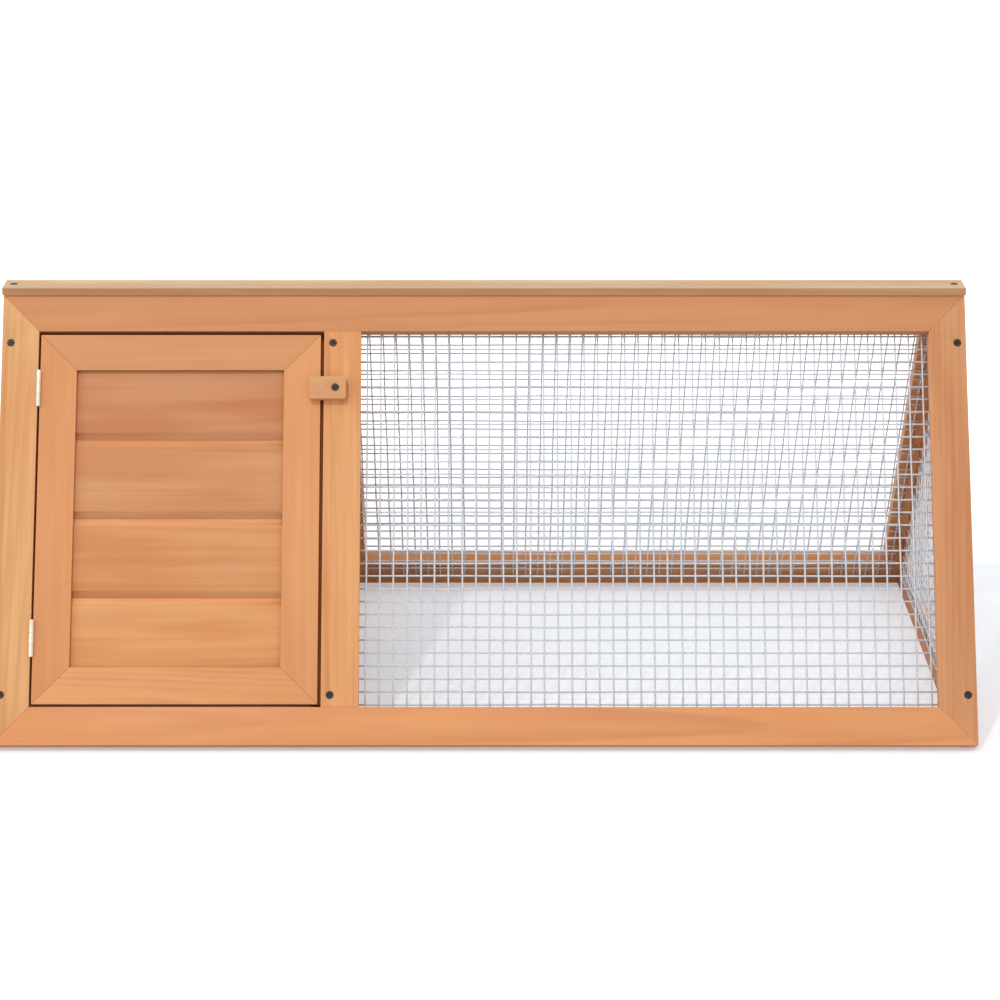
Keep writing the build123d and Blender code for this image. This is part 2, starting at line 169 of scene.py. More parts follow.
def add(tree, kind, **settings):
    """A new node in a tree, with its settings."""
    node = tree.nodes.new(kind)
    for key, value in settings.items():
        setattr(node, key, value)
    return node


def math_node(tree, operation, a, b=None, clamp=False):
    """A math node fed by sockets or plain numbers."""
    node = add(tree, "ShaderNodeMath", operation=operation, use_clamp=clamp)
    for index, value in enumerate((a, b)):
        if value is None:
            continue
        if isinstance(value, (int, float)):
            node.inputs[index].default_value = value
        else:
            tree.links.new(value, node.inputs[index])
    return node.outputs[0]


def vector_node(tree, operation, a, b):
    """A vector math node fed by a socket and a socket or a plain vector."""
    node = add(tree, "ShaderNodeVectorMath", operation=operation)
    tree.links.new(a, node.inputs[0])
    if isinstance(b, tuple):
        node.inputs[1].default_value = b
    else:
        tree.links.new(b, node.inputs[1])
    return node.outputs[0]


def length_of(tree, vector):
    """The length of a vector."""
    node = add(tree, "ShaderNodeVectorMath", operation="LENGTH")
    tree.links.new(vector, node.inputs[0])
    return node.outputs["Value"]


def noise(tree, vector, stretch, detail, rough=0.5):
    """A noise texture's value on a vector that is first scaled along each axis."""
    node = add(tree, "ShaderNodeTexNoise")
    tree.links.new(vector_node(tree, "MULTIPLY", vector, stretch), node.inputs["Vector"])
    node.inputs["Scale"].default_value = 1.0
    node.inputs["Detail"].default_value = detail
    node.inputs["Roughness"].default_value = rough
    return node.outputs["Fac"]


def ramp(tree, value, stops):
    """A colour ramp from (position, colour or grey) stops."""
    node = add(tree, "ShaderNodeValToRGB")
    tree.links.new(value, node.inputs["Fac"])
    elements = node.color_ramp.elements
    while len(elements) < len(stops):
        elements.new(0.5)
    for element, (position, colour) in zip(elements, stops):
        element.position = position
        grey = isinstance(colour, (int, float))
        element.color = (colour, colour, colour, 1) if grey else (*colour, 1)
    return node.outputs["Color"]


def mix_colour(tree, factor, a, b, blend="MIX"):
    """A colour mix fed by sockets, plain numbers or colours."""
    node = add(tree, "ShaderNodeMix", data_type="RGBA", blend_type=blend)
    for index, value in ((0, factor), (6, a), (7, b)):
        if isinstance(value, (int, float)):
            node.inputs[index].default_value = value
        elif isinstance(value, tuple):
            node.inputs[index].default_value = (*value, 1)
        else:
            tree.links.new(value, node.inputs[index])
    return node.outputs[2]


def seen_straight(tree):
    """One where the camera looks straight, by a mirror or through glass, and nought for gathered light."""
    rays = add(tree, "ShaderNodeLightPath").outputs
    seen = math_node(tree, "MAXIMUM", rays["Is Camera Ray"], rays["Is Glossy Ray"])
    return math_node(tree, "MAXIMUM", seen, rays["Is Transmission Ray"])


node_helpers = (new_group, add, math_node, vector_node, length_of, noise, ramp, mix_colour, seen_straight)
print("node helpers", [helper.__name__ for helper in node_helpers])

# %% [markdown]
# Fir is a softwood with wide pale early wood and narrow darker late wood in every ring. Sawn along the
# trunk, the rings show as long lines and drawn-out arches. So the grain is worked out in three dimensions:
# the rings are cylinders round a far-off pith, and each piece of timber carries an attribute with its own
# place in the tree. One group then serves every timber, and no two pieces look alike.

# %% The grain of fir, as one group
usual_ring_width, usual_wander = 0.0042, 0.009
wander_stretch = (1.6, 14.0, 14.0)
across_only = (0.0, 1.0, 1.0)
taper_share = 0.012
season_tones = [(0.0, 0.25), (0.1, 0.0), (0.55, 0.12), (0.86, 1.0), (0.96, 0.85), (1.0, 0.25)]
strength_stretch = (2.0, 45.0, 45.0)
strength_start, strength_gain = 0.28, 2.2
fibre_stretch = (9.0, 520.0, 520.0)
streak_stretch = (3.5, 150.0, 150.0)
cloud_stretch = (5.0, 30.0, 30.0)

grain = new_group(
    "fir_grain",
    [
        ("Place", "NodeSocketVector", None),
        ("Ring Width", "NodeSocketFloat", usual_ring_width),
        ("Wander", "NodeSocketFloat", usual_wander),
    ],
    [(label, "NodeSocketFloat") for label in ("Rings", "Fibre", "Streak", "Cloud")],
)
sockets_in = add(grain, "NodeGroupInput")
sockets_out = add(grain, "NodeGroupOutput")
place = sockets_in.outputs["Place"]
wander = math_node(grain, "SUBTRACT", noise(grain, place, wander_stretch, 2.0, 0.45), 0.5)
wander = math_node(grain, "MULTIPLY", wander, sockets_in.outputs["Wander"])
split = add(grain, "ShaderNodeSeparateXYZ")
grain.links.new(place, split.inputs[0])
from_pith = length_of(grain, vector_node(grain, "MULTIPLY", place, across_only))
taper = math_node(grain, "MULTIPLY", split.outputs[0], taper_share)
radius = math_node(grain, "ADD", math_node(grain, "ADD", from_pith, taper), wander)
year = math_node(grain, "DIVIDE", radius, sockets_in.outputs["Ring Width"])
season = ramp(grain, math_node(grain, "FRACT", year), season_tones)
strength = math_node(grain, "SUBTRACT", noise(grain, place, strength_stretch, 1.0), strength_start, True)
strength = math_node(grain, "MULTIPLY", strength, strength_gain, True)
grain.links.new(math_node(grain, "MULTIPLY", season, strength), sockets_out.inputs["Rings"])
grain.links.new(noise(grain, place, fibre_stretch, 3.0, 0.6), sockets_out.inputs["Fibre"])
grain.links.new(noise(grain, place, streak_stretch, 2.0, 0.6), sockets_out.inputs["Streak"])
grain.links.new(noise(grain, place, cloud_stretch, 2.0), sockets_out.inputs["Cloud"])
print("grain group has", len(grain.nodes), "nodes")

# %% [markdown]
# The stain is a thin honey glaze. It reads orange over late wood and yellower over early wood, it gathers
# where saw cuts left the end grain open, and it wears a little paler along rounded edges. Each timber
# finish is the same recipe with its own colours, so one function builds them all from named values.


# %% Timber finishes
red_share, yellow_share = (0.93, 0.82, 0.72), (1.04, 1.10, 1.10)
cloud_mix = 0.75
fibre_tones = [(0.3, 0.92), (0.7, 1.0)]
streak_tones = [(0.3, (0.88, 0.82, 0.76)), (0.6, 1.0)]
worn_share, worn_mix = (1.12, 1.12, 1.12), 0.35
soaked_share, soaked_mix = (0.74, 0.62, 0.52), 0.7
timber_specular = 0.35
fibre_roughness, ring_polish = 0.14, 0.12
fibre_height, relief, relief_depth = 0.5, 0.25, 0.0004


def srgb(*levels):
    """A colour given as 0 to 255 display values, as the shader's linear values."""
    shares = [level / 255 for level in levels]
    return tuple(s / 12.92 if s <= 0.04045 else ((s + 0.055) / 1.055) ** 2.4 for s in shares)


def tinted(colour, share):
    """A colour with its red, green and blue each multiplied by a share, none of them above one."""
    return tuple(min(c * s, 1.0) for c, s in zip(colour, share))


def honey_timber(name, early, late, rough, ring_width, contrast, streaky):
    """A stained fir finish: two tones, ring contrast, streaks, clouds, edges and end grain."""
    finish = bpy.data.materials.new(name)
    finish.use_nodes = True
    tree = finish.node_tree
    shader = tree.nodes["Principled BSDF"]
    place = add(tree, "ShaderNodeAttribute", attribute_name="place_in_tree")
    stain_and_shade = add(tree, "ShaderNodeAttribute", attribute_name="stain_and_shade")
    edge = add(tree, "ShaderNodeAttribute", attribute_name="edge")
    end = add(tree, "ShaderNodeAttribute", attribute_name="end_grain")
    figure = add(tree, "ShaderNodeGroup", node_tree=grain)
    tree.links.new(place.outputs["Vector"], figure.inputs["Place"])
    figure.inputs["Ring Width"].default_value = ring_width
    rings = math_node(tree, "MULTIPLY", figure.outputs["Rings"], contrast)
    base = mix_colour(tree, rings, early, late)
    cloud_tones = [(0.40, tinted(early, red_share)), (0.60, tinted(early, yellow_share))]
    cloud = ramp(tree, figure.outputs["Cloud"], cloud_tones)
    base = mix_colour(tree, cloud_mix, base, mix_colour(tree, rings, cloud, late))
    base = mix_colour(tree, 1.0, base, ramp(tree, figure.outputs["Fibre"], fibre_tones), "MULTIPLY")
    base = mix_colour(tree, streaky, base, ramp(tree, figure.outputs["Streak"], streak_tones), "MULTIPLY")
    # Each face's stain is multiplied in here, and on a few faces it also carries painted sheen, painted highlight
    # and painted shade.
    base = mix_colour(tree, 1.0, base, stain_and_shade.outputs["Color"], "MULTIPLY")
    worn = math_node(tree, "MULTIPLY", edge.outputs["Fac"], worn_mix)
    base = mix_colour(tree, worn, base, tinted(early, worn_share))
    soaked = math_node(tree, "MULTIPLY", end.outputs["Fac"], soaked_mix)
    base = mix_colour(tree, soaked, base, tinted(early, soaked_share))
    tree.links.new(base, shader.inputs["Base Color"])
    shader.inputs["Specular IOR Level"].default_value = timber_specular
    roughness = math_node(tree, "MULTIPLY", figure.outputs["Fibre"], fibre_roughness)
    roughness = math_node(tree, "ADD", roughness, rough - fibre_roughness / 2)
    polish = math_node(tree, "MULTIPLY", figure.outputs["Rings"], ring_polish)
    tree.links.new(math_node(tree, "SUBTRACT", roughness, polish), shader.inputs["Roughness"])
    height = math_node(tree, "MULTIPLY", figure.outputs["Fibre"], fibre_height)
    bump = add(tree, "ShaderNodeBump")
    bump.inputs["Strength"].default_value = relief
    bump.inputs["Distance"].default_value = relief_depth
    tree.links.new(math_node(tree, "ADD", height, rings), bump.inputs["Height"])
    tree.links.new(bump.outputs["Normal"], shader.inputs["Normal"])
    return finish


# Each row: name, early wood, late wood, roughness, ring width, ring contrast and streaks.
timber = {
    row[0]: honey_timber(row[0], srgb(*row[1]), srgb(*row[2]), *row[3:])
    for row in (
        ("panel_timber", (236, 168, 112), (196, 122, 70), 0.60, 0.0034, 0.3, 0.55),
        ("door_timber", (236, 168, 114), (200, 128, 76), 0.60, 0.0032, 0.38, 0.6),
        ("board_timber", (228, 162, 112), (186, 120, 74), 0.62, 0.0064, 0.3, 0.4),
        ("gable_timber", (222, 156, 106), (176, 108, 62), 0.60, 0.0040, 0.45, 0.5),
        ("ridge_timber", (222, 172, 128), (176, 120, 78), 0.48, 0.0044, 0.3, 0.4),
        ("button_timber", (232, 174, 126), (194, 134, 86), 0.55, 0.0060, 0.2, 0.3),
        ("flame_timber", (240, 172, 116), (196, 122, 70), 0.60, 0.0052, 0.8, 0.45),
        ("lined_timber", (238, 172, 118), (186, 108, 60), 0.60, 0.0029, 0.8, 0.4),
    )
}
figured = {
    "front_top_rail": timber["flame_timber"],
    "front_bottom_rail": timber["flame_timber"],
    "door_bottom_rail": timber["lined_timber"],
}
print("timber finishes", sorted(timber), "timbers with a figure of their own", sorted(figured))

# %% [markdown]
# A joiner lays the grain along each timber, because wood splits easily along it and bears little across it.
# Rails, boards and the ridge run along the cage, stiles and legs run up the slopes, and sills and gable
# boards run across. Every timber is listed once, with the way its grain runs and the way its face looks.

# %% Which way the grain runs in each timber
DOOR_BOARDS = [f"door_board_{i}" for i in (1, 2, 3, 4)]
BACK_BOARDS = [f"back_board_{i}" for i in (1, 2, 3, 4)]
GABLE_BOARDS = [f"left_gable_board_{i}" for i in (1, 2, 3)]
long_grain = ["front_top_rail", "front_bottom_rail", "back_top_rail", "back_bottom_rail", "ridge_board"]
long_grain += ["door_top_rail", "door_bottom_rail", "turn_button"] + DOOR_BOARDS + BACK_BOARDS
front_grain = ["front_left_stile", "front_right_stile", "front_middle_stile", "door_hinge_stile"]
front_grain += ["door_latch_stile", "door_stop", "left_gable_front_leg", "right_gable_front_leg"]
front_grain += ["divider_front_leg"]
back_grain = ["back_left_stile", "back_right_stile", "back_middle_stile", "left_gable_back_leg"]
back_grain += ["right_gable_back_leg", "divider_back_leg"]
cross_grain = ["left_gable_sill", "right_gable_sill", "divider_front_board", "divider_back_board"]
cross_grain += ["divider_top_board"] + GABLE_BOARDS
grain_of = {name: (ALONG, out_front) for name in long_grain}
grain_of.update({name: slopes["front"] for name in front_grain})
grain_of.update({name: slopes["back"] for name in back_grain})
grain_of.update({name: (ACROSS, ALONG) for name in cross_grain})
print("timbers", len(grain_of))

# %% [markdown]
# Each timber takes a stain differently, and one even shade would look like plastic. The timbers in front
# each have their own share of red, green and blue, and the others one even share. A few faces differ again
# through painted light and shade: the top of the ridge is made paler as a painted sheen, the undersides of
# the top rails and the front top rail's upper edge under the ridge carry painted shade, and the V joints
# between boards have a painted light side and a painted dark side.

# %% How each timber took the stain, and its painted light and shade
stains = {
    "front_top_rail": (0.54, 0.43, 0.40),
    "front_bottom_rail": (0.77, 0.62, 0.55),
    "front_left_stile": (0.92, 1.0, 1.0),
    "front_middle_stile": (0.94, 0.93, 0.9),
    "front_right_stile": (0.80, 0.76, 0.81),
    "door_top_rail": (0.62, 0.56, 0.53),
    "door_bottom_rail": (0.76, 0.65, 0.51),
    "door_hinge_stile": (0.73, 0.60, 0.48),
    "door_latch_stile": (0.75, 0.67, 0.56),
    "door_board_1": (0.98, 0.94, 0.8),
    "door_board_2": (0.91, 0.84, 0.76),
    "door_board_3": (0.86, 0.83, 0.79),
    "door_board_4": (0.80, 0.72, 0.70),
    "turn_button": (0.87, 0.81, 0.75),
    "ridge_board": (0.69, 0.64, 0.60),
}
even_stain = (0.88, 0.84, 0.8)
# Painted sheen: the upward face of the ridge is made paler, standing in for light glancing off it.
painted_ridge_sheen = (1.0, 1.16, 1.24)
# Painted highlight and shade: board bevels facing up the slope are made lighter, those facing down darker.
painted_bevel_light, painted_bevel_shade = 1.12, 0.86
# Painted shade: the downward faces of the top rails, and the front top rail's upper edge under the ridge, are
# darkened.
painted_rail_shade = 0.5
flat_top = 0.7
faces_down_slope, faces_up_slope = -0.9, 0.35
faces_out, leans = 0.5, 0.2
palest = 1.2


def stain_and_shade_on(name, normal):
    """Stained colour of a face, with a painted sheen on the ridge, painted shade at top rails, painted light and
    shade on bevels.
    """
    share = stains.get(name, even_stain)
    # Painted sheen: the upward face of the ridge is made paler.
    if name == "ridge_board" and normal.z > flat_top:
        return painted_ridge_sheen
    # Painted shade: the downward faces of the top rails, and the front top rail's upper edge under the ridge, are
    # darkened.
    if name in ("front_top_rail", "door_top_rail") and normal.dot(up_front) < faces_down_slope:
        return tuple(c * painted_rail_shade for c in share)
    if name == "front_top_rail" and normal.dot(up_front) > faces_up_slope:
        return tuple(c * painted_rail_shade for c in share)
    # Painted highlight and shade: a board bevel facing up the slope is made lighter, one facing down darker.
    if name.startswith(("door_board", "back_board")):
        up, out = slopes["front" if name.startswith("door") else "back"]
        if normal.dot(out) > faces_out and abs(normal.dot(up)) > leans:
            bevel = painted_bevel_light if normal.dot(up) > 0 else painted_bevel_shade
            return tuple(min(c * bevel, palest) for c in share)
    return share


print("timbers with a stain of their own", len(stains))

# %% [markdown]
# A board fresh from the plane has razor edges, and a light stroke of sandpaper takes them off. That narrow
# rounded edge catches the light and is what makes wood look like wood. The frame's timbers already have
# their true shape, with mitres, grooves and screw holes, so each one is copied, its triangles are merged
# back into flat faces, and only its long edges are bevelled. The same function then writes the grain
# attributes.

# %% Soften the edges of a timber and give it its place in the tree
soft_edge = 0.0007
long_edge = 0.012
sharp_turn = radians(25)
flat_turn = radians(1)
smooth_turn = radians(30)
same_point = 0.00001
pith_distance = 0.055
pith_turn, pith_shift = 2.399, 0.028
pith_swing, pith_rise = 1.7, 0.02
log_step = 1.37
end_start = 0.4


def soften(name, order):
    """A copy of a timber with sanded edges and the attributes that its grain reads."""
    piece = copy_of(name, "_wood")
    edit(piece, "EDGE")
    back_to_edit()
    bpy.ops.mesh.select_all(action="SELECT")
    bpy.ops.mesh.remove_doubles(threshold=same_point)
    bpy.ops.mesh.dissolve_limited(angle_limit=flat_turn)
    bpy.ops.mesh.select_all(action="DESELECT")
    close_edit()
    mesh = piece.data
    faces_at = {}
    for face in mesh.polygons:
        for key in face.edge_keys:
            faces_at.setdefault(key, []).append(face.normal)
    for line in mesh.edges:
        start, stop = (mesh.vertices[i].co for i in line.vertices)
        sides = faces_at.get(tuple(sorted(line.vertices)), [])
        turned = len(sides) == 2 and sides[0].angle(sides[1], 0.0) > sharp_turn
        line.select = turned and (stop - start).length > long_edge
    back_to_edit()
    bpy.ops.mesh.bevel(offset=soft_edge, segments=2, profile=0.7, clamp_overlap=False)
    close_edit()
    mark_grain(piece, name, order)
    pick(piece)
    bpy.ops.object.shade_smooth_by_angle(angle=smooth_turn)
    dress(piece, figured.get(name, timber[slot_of_node[name]]), [name])
    return piece


def mark_grain(piece, name, order):
    """Writes where in the tree each point of a timber grew, its stained colour with a few faces' painted light and
    shade, and how far it is end grain.
    """
    mesh = piece.data
    along, face_out = grain_of[name]
    across = face_out.cross(along).normalized()
    middle = sum((Vector(v.co) for v in mesh.vertices), Vector()) / len(mesh.vertices)
    turn = pith_turn * order
    pith = Vector((0.0, cos(turn) * pith_shift, pith_distance + pith_rise * sin(turn * pith_swing)))
    mesh.attributes.new("place_in_tree", "FLOAT_VECTOR", "POINT")
    mesh.attributes.new("stain_and_shade", "FLOAT_VECTOR", "FACE")
    mesh.attributes.new("edge", "FLOAT", "FACE")
    mesh.attributes.new("end_grain", "FLOAT", "FACE")
    spread = mesh.attributes["place_in_tree"].data
    for vertex in mesh.vertices:
        arm = vertex.co - middle
        local = Vector((arm.dot(along) + order * log_step, arm.dot(across), arm.dot(face_out)))
        spread[vertex.index].vector = local + pith
    stain_and_shade = mesh.attributes["stain_and_shade"].data
    edge = mesh.attributes["edge"].data
    end = mesh.attributes["end_grain"].data
    for face in mesh.polygons:
        # Each face's stain, which on a few faces also carries painted sheen, painted highlight or painted shade.
        stain_and_shade[face.index].vector = stain_and_shade_on(name, face.normal)
        edge[face.index].value = 1.0 if face.select else 0.0
        end[face.index].value = max(0.0, (abs(face.normal.dot(along)) - end_start) / (1 - end_start))


timbers = [soften(name, order) for order, name in enumerate(sorted(grain_of))]
print("softened timbers", len(timbers), "faces", sum(len(t.data.polygons) for t in timbers))

# %% [markdown]
# Wire, staples, hinges and screws are metal, most of it coated with zinc. An even grey would look like
# paint, and zinc shows soft paler patches, so one group gives a mottled bloom, and each metal runs between
# its own dull and bright tone over it. The wires at the back and at the gable are the same wire made paler,
# painted light that lifts them where the cage's own shade falls on them.

# %% Galvanised wire, staples and screws
zinc = new_group(
    "zinc_bloom",
    [("Place", "NodeSocketVector", None), ("Size", "NodeSocketFloat", 220.0)],
    [("Bloom", "NodeSocketFloat")],
)
zinc_in = add(zinc, "NodeGroupInput")
zinc_out = add(zinc, "NodeGroupOutput")
spots = add(zinc, "ShaderNodeTexNoise")
zinc.links.new(zinc_in.outputs["Place"], spots.inputs["Vector"])
zinc.links.new(zinc_in.outputs["Size"], spots.inputs["Scale"])
zinc.links.new(spots.outputs["Fac"], zinc_out.inputs["Bloom"])


bloom_start, bloom_stop = 0.35, 0.65
bloom_roughness = 0.2


def plain_metal(name, dull, bright, metallic, rough, size):
    """A metal with a mottled bloom of zinc or oxide."""
    finish = bpy.data.materials.new(name)
    finish.use_nodes = True
    tree = finish.node_tree
    shader = tree.nodes["Principled BSDF"]
    where = add(tree, "ShaderNodeTexCoord")
    bloom = add(tree, "ShaderNodeGroup", node_tree=zinc)
    bloom.inputs["Size"].default_value = size
    tree.links.new(where.outputs["Object"], bloom.inputs["Place"])
    tone = ramp(tree, bloom.outputs["Bloom"], [(bloom_start, dull), (bloom_stop, bright)])
    tree.links.new(tone, shader.inputs["Base Color"])
    shader.inputs["Metallic"].default_value = metallic
    uneven = math_node(tree, "MULTIPLY", bloom.outputs["Bloom"], bloom_roughness)
    roughness = math_node(tree, "ADD", uneven, rough - bloom_roughness / 2)
    tree.links.new(roughness, shader.inputs["Roughness"])
    return finish


# Each row: name, dull tone, bright tone, how metallic, roughness and how many spots to a metre.
metals = {
    row[0]: plain_metal(row[0], srgb(*row[1]), srgb(*row[2]), *row[3:])
    for row in (
        ("mesh_wire", (202, 205, 210), (219, 222, 226), 0.08, 0.5, 260.0),
        # The same wire made paler: painted light for the nets that lie in the cage's shade.
        ("bright_wire", (222, 227, 234), (238, 241, 245), 0.05, 0.5, 260.0),
        ("staple_wire", (186, 190, 194), (216, 219, 222), 0.4, 0.38, 260.0),
        ("hinge_steel", (226, 217, 198), (240, 232, 214), 0.7, 0.34, 60.0),
        ("small_screws", (190, 190, 188), (226, 225, 222), 0.8, 0.3, 300.0),
        ("dark_screws", (38, 33, 30), (74, 66, 60), 0.5, 0.42, 500.0),
    )
}
for name, node in frame["nodes"].items():
    if slot_of_node[name] in metals:
        node.data.materials.clear()
        node.data.materials.append(metals[slot_of_node[name]])
print("metal finishes", sorted(metals))

# %% [markdown]
# The net is welded mesh at a pitch of about half an inch: round wires along and across, in two layers that
# are fused where they touch. A picture of a net would look flat from the side, so every wire is real. One
# wire is modelled from a slim cylinder, cut into parts that are nudged a third of a millimetre out of line,
# because no drawn wire is quite straight. Its copies are stretched, rolled and aimed, each in its own
# place.

# %% One wire, and the copies that make a net
wire_radius = 0.0009
wire_sides = 7
weld_depth = 0.00012
model_length = 0.45
wire_parts = 6
sway = 0.0003
sway_turn_x, sway_turn_y = 2.1, 3.3
ring_reach = 0.001
end_face = 0.9
end_inset, end_bulge = 0.35, 0.3
roll_per_metre = 900
round_turn = radians(60)

bpy.ops.object.select_all(action="DESELECT")
bpy.ops.mesh.primitive_cylinder_add(vertices=wire_sides, radius=wire_radius, depth=model_length)
model_wire = bpy.context.object
model_wire.name = "model_wire"
edit(model_wire, "EDGE")
for line in model_wire.data.edges:
    heights = [model_wire.data.vertices[i].co.z for i in line.vertices]
    line.select = abs(heights[0] - heights[1]) > model_length / 2
back_to_edit()
bpy.ops.mesh.subdivide(number_cuts=wire_parts - 1)
for ring in range(1, wire_parts):
    close_edit()
    edit(model_wire, "VERT")
    height = (ring / wire_parts - 0.5) * model_length
    for vertex in model_wire.data.vertices:
        vertex.select = abs(vertex.co.z - height) < ring_reach
    back_to_edit()
    nudge = (sway * sin(ring * sway_turn_x), sway * cos(ring * sway_turn_y), 0.0)
    bpy.ops.transform.translate(value=nudge)
close_edit()
edit(model_wire, "FACE")
for face in model_wire.data.polygons:
    face.select = abs(face.normal.z) > end_face
back_to_edit()
bpy.ops.mesh.inset(thickness=wire_radius * end_inset, depth=wire_radius * end_bulge)
close_edit()
print("model wire faces", len(model_wire.data.polygons))


def wire(start, stop, name):
    """A copy of the model wire between two points, rolled so that no two sway alike."""
    line = stop - start
    strand = bpy.data.objects.new(name, model_wire.data.copy())
    bpy.context.scene.collection.objects.link(strand)
    length = Matrix.Diagonal((1.0, 1.0, line.length / model_length, 1.0))
    roll = Matrix.Rotation(start.length * roll_per_metre, 4, "Z")
    aim = line.to_track_quat("Z", "Y").to_matrix().to_4x4()
    strand.data.transform(Matrix.Translation((start + stop) / 2) @ aim @ roll @ length)
    return strand


def finish_net(strands, name):
    """Joins a net's wires and shades them round."""
    net = join(strands, name)
    bpy.ops.object.shade_smooth_by_angle(angle=round_turn)
    # The back and gable nets take the paler copy of the wire, painted light against the shade inside the cage.
    finish = metals["mesh_wire" if name == "front_net" else "bright_wire"]
    dress(net, finish, [name.replace("_net", "_mesh")])
    return net


# %% [markdown]
# A long net is stapled behind each panel. Its uprights lie against the timber, and its level wires lie
# behind them, one wire deep. Both pitches were read from the photograph, and both panels are alike, so one
# function lays either net in its panel's own directions.

# %% The two long nets
long_pitch = 0.01381
slope_pitch = 0.01304
first_upright = -0.1327
upright_count = 44
first_level = 0.0163
level_count = 34
overhang = 0.003
upright_layer = -panel_thickness - wire_radius
level_layer = upright_layer - 2 * wire_radius + weld_depth


def long_net(side):
    """The net behind a panel: uprights against the timber, and level wires behind them."""
    last_upright = first_upright + (upright_count - 1) * long_pitch
    last_level = first_level + (level_count - 1) * slope_pitch
    strands = []
    for i in range(upright_count):
        x = first_upright + i * long_pitch
        foot = on_panel(side, x, first_level - overhang, upright_layer)
        head = on_panel(side, x, last_level + overhang, upright_layer)
        strands.append(wire(foot, head, "upright"))
    for j in range(level_count):
        s = first_level + j * slope_pitch
        left = on_panel(side, first_upright - overhang, s, level_layer)
        right = on_panel(side, last_upright + overhang, s, level_layer)
        strands.append(wire(left, right, "level"))
    return finish_net(strands, side + "_net")


nets = [long_net("front"), long_net("back")]
print("long nets", [(net.name, len(net.data.polygons)) for net in nets])

# %% [markdown]
# The right gable has the same net, cut to its triangle. Cutting a square net would leave stray stubs, so
# each wire is laid only as far as the two slopes let it reach.

# %% The net in the right gable
gable_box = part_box("right_gable_mesh")
gable_layer_x = gable_box[1].x - wire_radius
gable_level_x = gable_layer_x - 2 * wire_radius + weld_depth
first_gable_level, last_gable_gap = 0.004, 0.012
gable_side_gap, shortest_upright = 0.004, 0.01


def gable_net():
    """Level and upright wires that fill the gable's triangle, cut to its slopes."""
    low, high = gable_box
    slant = (high.y - low.y) / 2 / (high.z - low.z)
    strands = []
    z = low.z + first_gable_level
    while z < high.z - last_gable_gap:
        reach = (high.z - z) * slant
        strands.append(wire(Vector((gable_level_x, -reach, z)), Vector((gable_level_x, reach, z)), "level"))
        z += slope_pitch
    count = int((high.y - gable_side_gap) / long_pitch)
    for i in range(-count, count + 1):
        y = i * long_pitch
        top = high.z - abs(y) / slant
        if top - low.z > shortest_upright:
            foot = Vector((gable_layer_x, y, low.z))
            strands.append(wire(foot, Vector((gable_layer_x, y, top)), "upright"))
    return finish_net(strands, "right_gable_net")


nets.append(gable_net())
bpy.data.objects.remove(model_wire)
print("gable net faces", len(nets[-1].data.polygons))

# %% [markdown]
# Staples straddle the outermost wires and bite into the timber. The frame's staples are sized for a thin
# sheet of net, and the round wires stand twice as deep, so each crown is drawn back from the timber until
# it rests on the wires. Only the points that lie clear of the timber are moved, so the legs simply grow
# longer.


# %% Staples drawn back over the round wires
crown_gap = 0.0022
clear_of_timber = 0.0003
crown_turn = radians(50)


def draw_back(name, origin, inward, depth):
    """A copy of a row of staples whose crowns are moved inward; depth is where they leave the timber."""
    piece = copy_of(name, "_wire")
    edit(piece, "VERT")
    back_to_edit()
    bpy.ops.mesh.select_all(action="SELECT")
    bpy.ops.mesh.remove_doubles(threshold=same_point)
    bpy.ops.mesh.select_all(action="DESELECT")
    close_edit()
    for vertex in piece.data.vertices:
        vertex.select = (vertex.co - origin).dot(inward) > depth
    back_to_edit()
    bpy.ops.transform.translate(value=inward * crown_gap)
    close_edit()
    bpy.ops.object.shade_smooth_by_angle(angle=crown_turn)
    dress(piece, metals["staple_wire"], [name])
    return piece


timber_depth = panel_thickness + clear_of_timber
crowns = [
    draw_back(side + "_staples", feet[side], -slopes[side][1], timber_depth) for side in ("front", "back")
]
gable_face = Vector((gable_box[1].x, 0.0, 0.0))
crowns.append(draw_back("right_gable_staples", gable_face, -ALONG, clear_of_timber))
print("staples", [(crown.name, len(crown.data.vertices)) for crown in crowns])

# %% [markdown]
# The camera stands three metres in front of the middle of the cage and 1.2 metres up, and looks down about
# nineteen degrees with a long lens. Its distance, height and lens were worked out from the edges of the
# front and back panels, whose vanishing lines fix them together.

# %% Camera
look_down = 19.158
camera_data = bpy.data.cameras.new("camera")
camera_data.lens = 106.93
camera_data.sensor_width = 36.0
camera_data.shift_x = 0.01587
camera_data.clip_start = 0.1
camera_data.clip_end = 50.0
camera = bpy.data.objects.new("camera", camera_data)
camera.location = (0.0, -2.9439, 1.2030)
camera.rotation_euler = (radians(90 - look_down), 0.0, 0.0)
bpy.context.scene.collection.objects.link(camera)
bpy.context.scene.camera = camera
print("camera at", [round(c, 3) for c in camera.location], "lens", round(camera_data.lens, 2))

# %% [markdown]
# The floor is a plain pale sheet. In the photograph it is white and still keeps the cage's shadow. A white
# paint alone would come out grey in the soft light, so the sheet glows a little where it is seen, more so
# further from the cage. Under the closed shelter the glow is almost taken away, as little light gets there.

# %% Floor
floor_size, floor_drop = 14.0, 0.0002
floor_colour, floor_glow = (0.80, 0.84, 0.90, 1), (0.96, 0.98, 1.0, 1)
floor_roughness, floor_specular = 0.9, 0.1
near_lift, far_lift = 0.31, 1.0
lift_start, lift_stop = 1.3, 2.6
round_cage = (1.8, 2.6, 0.0)
shelter_depth = 0.225
shelter_glow = 0.15

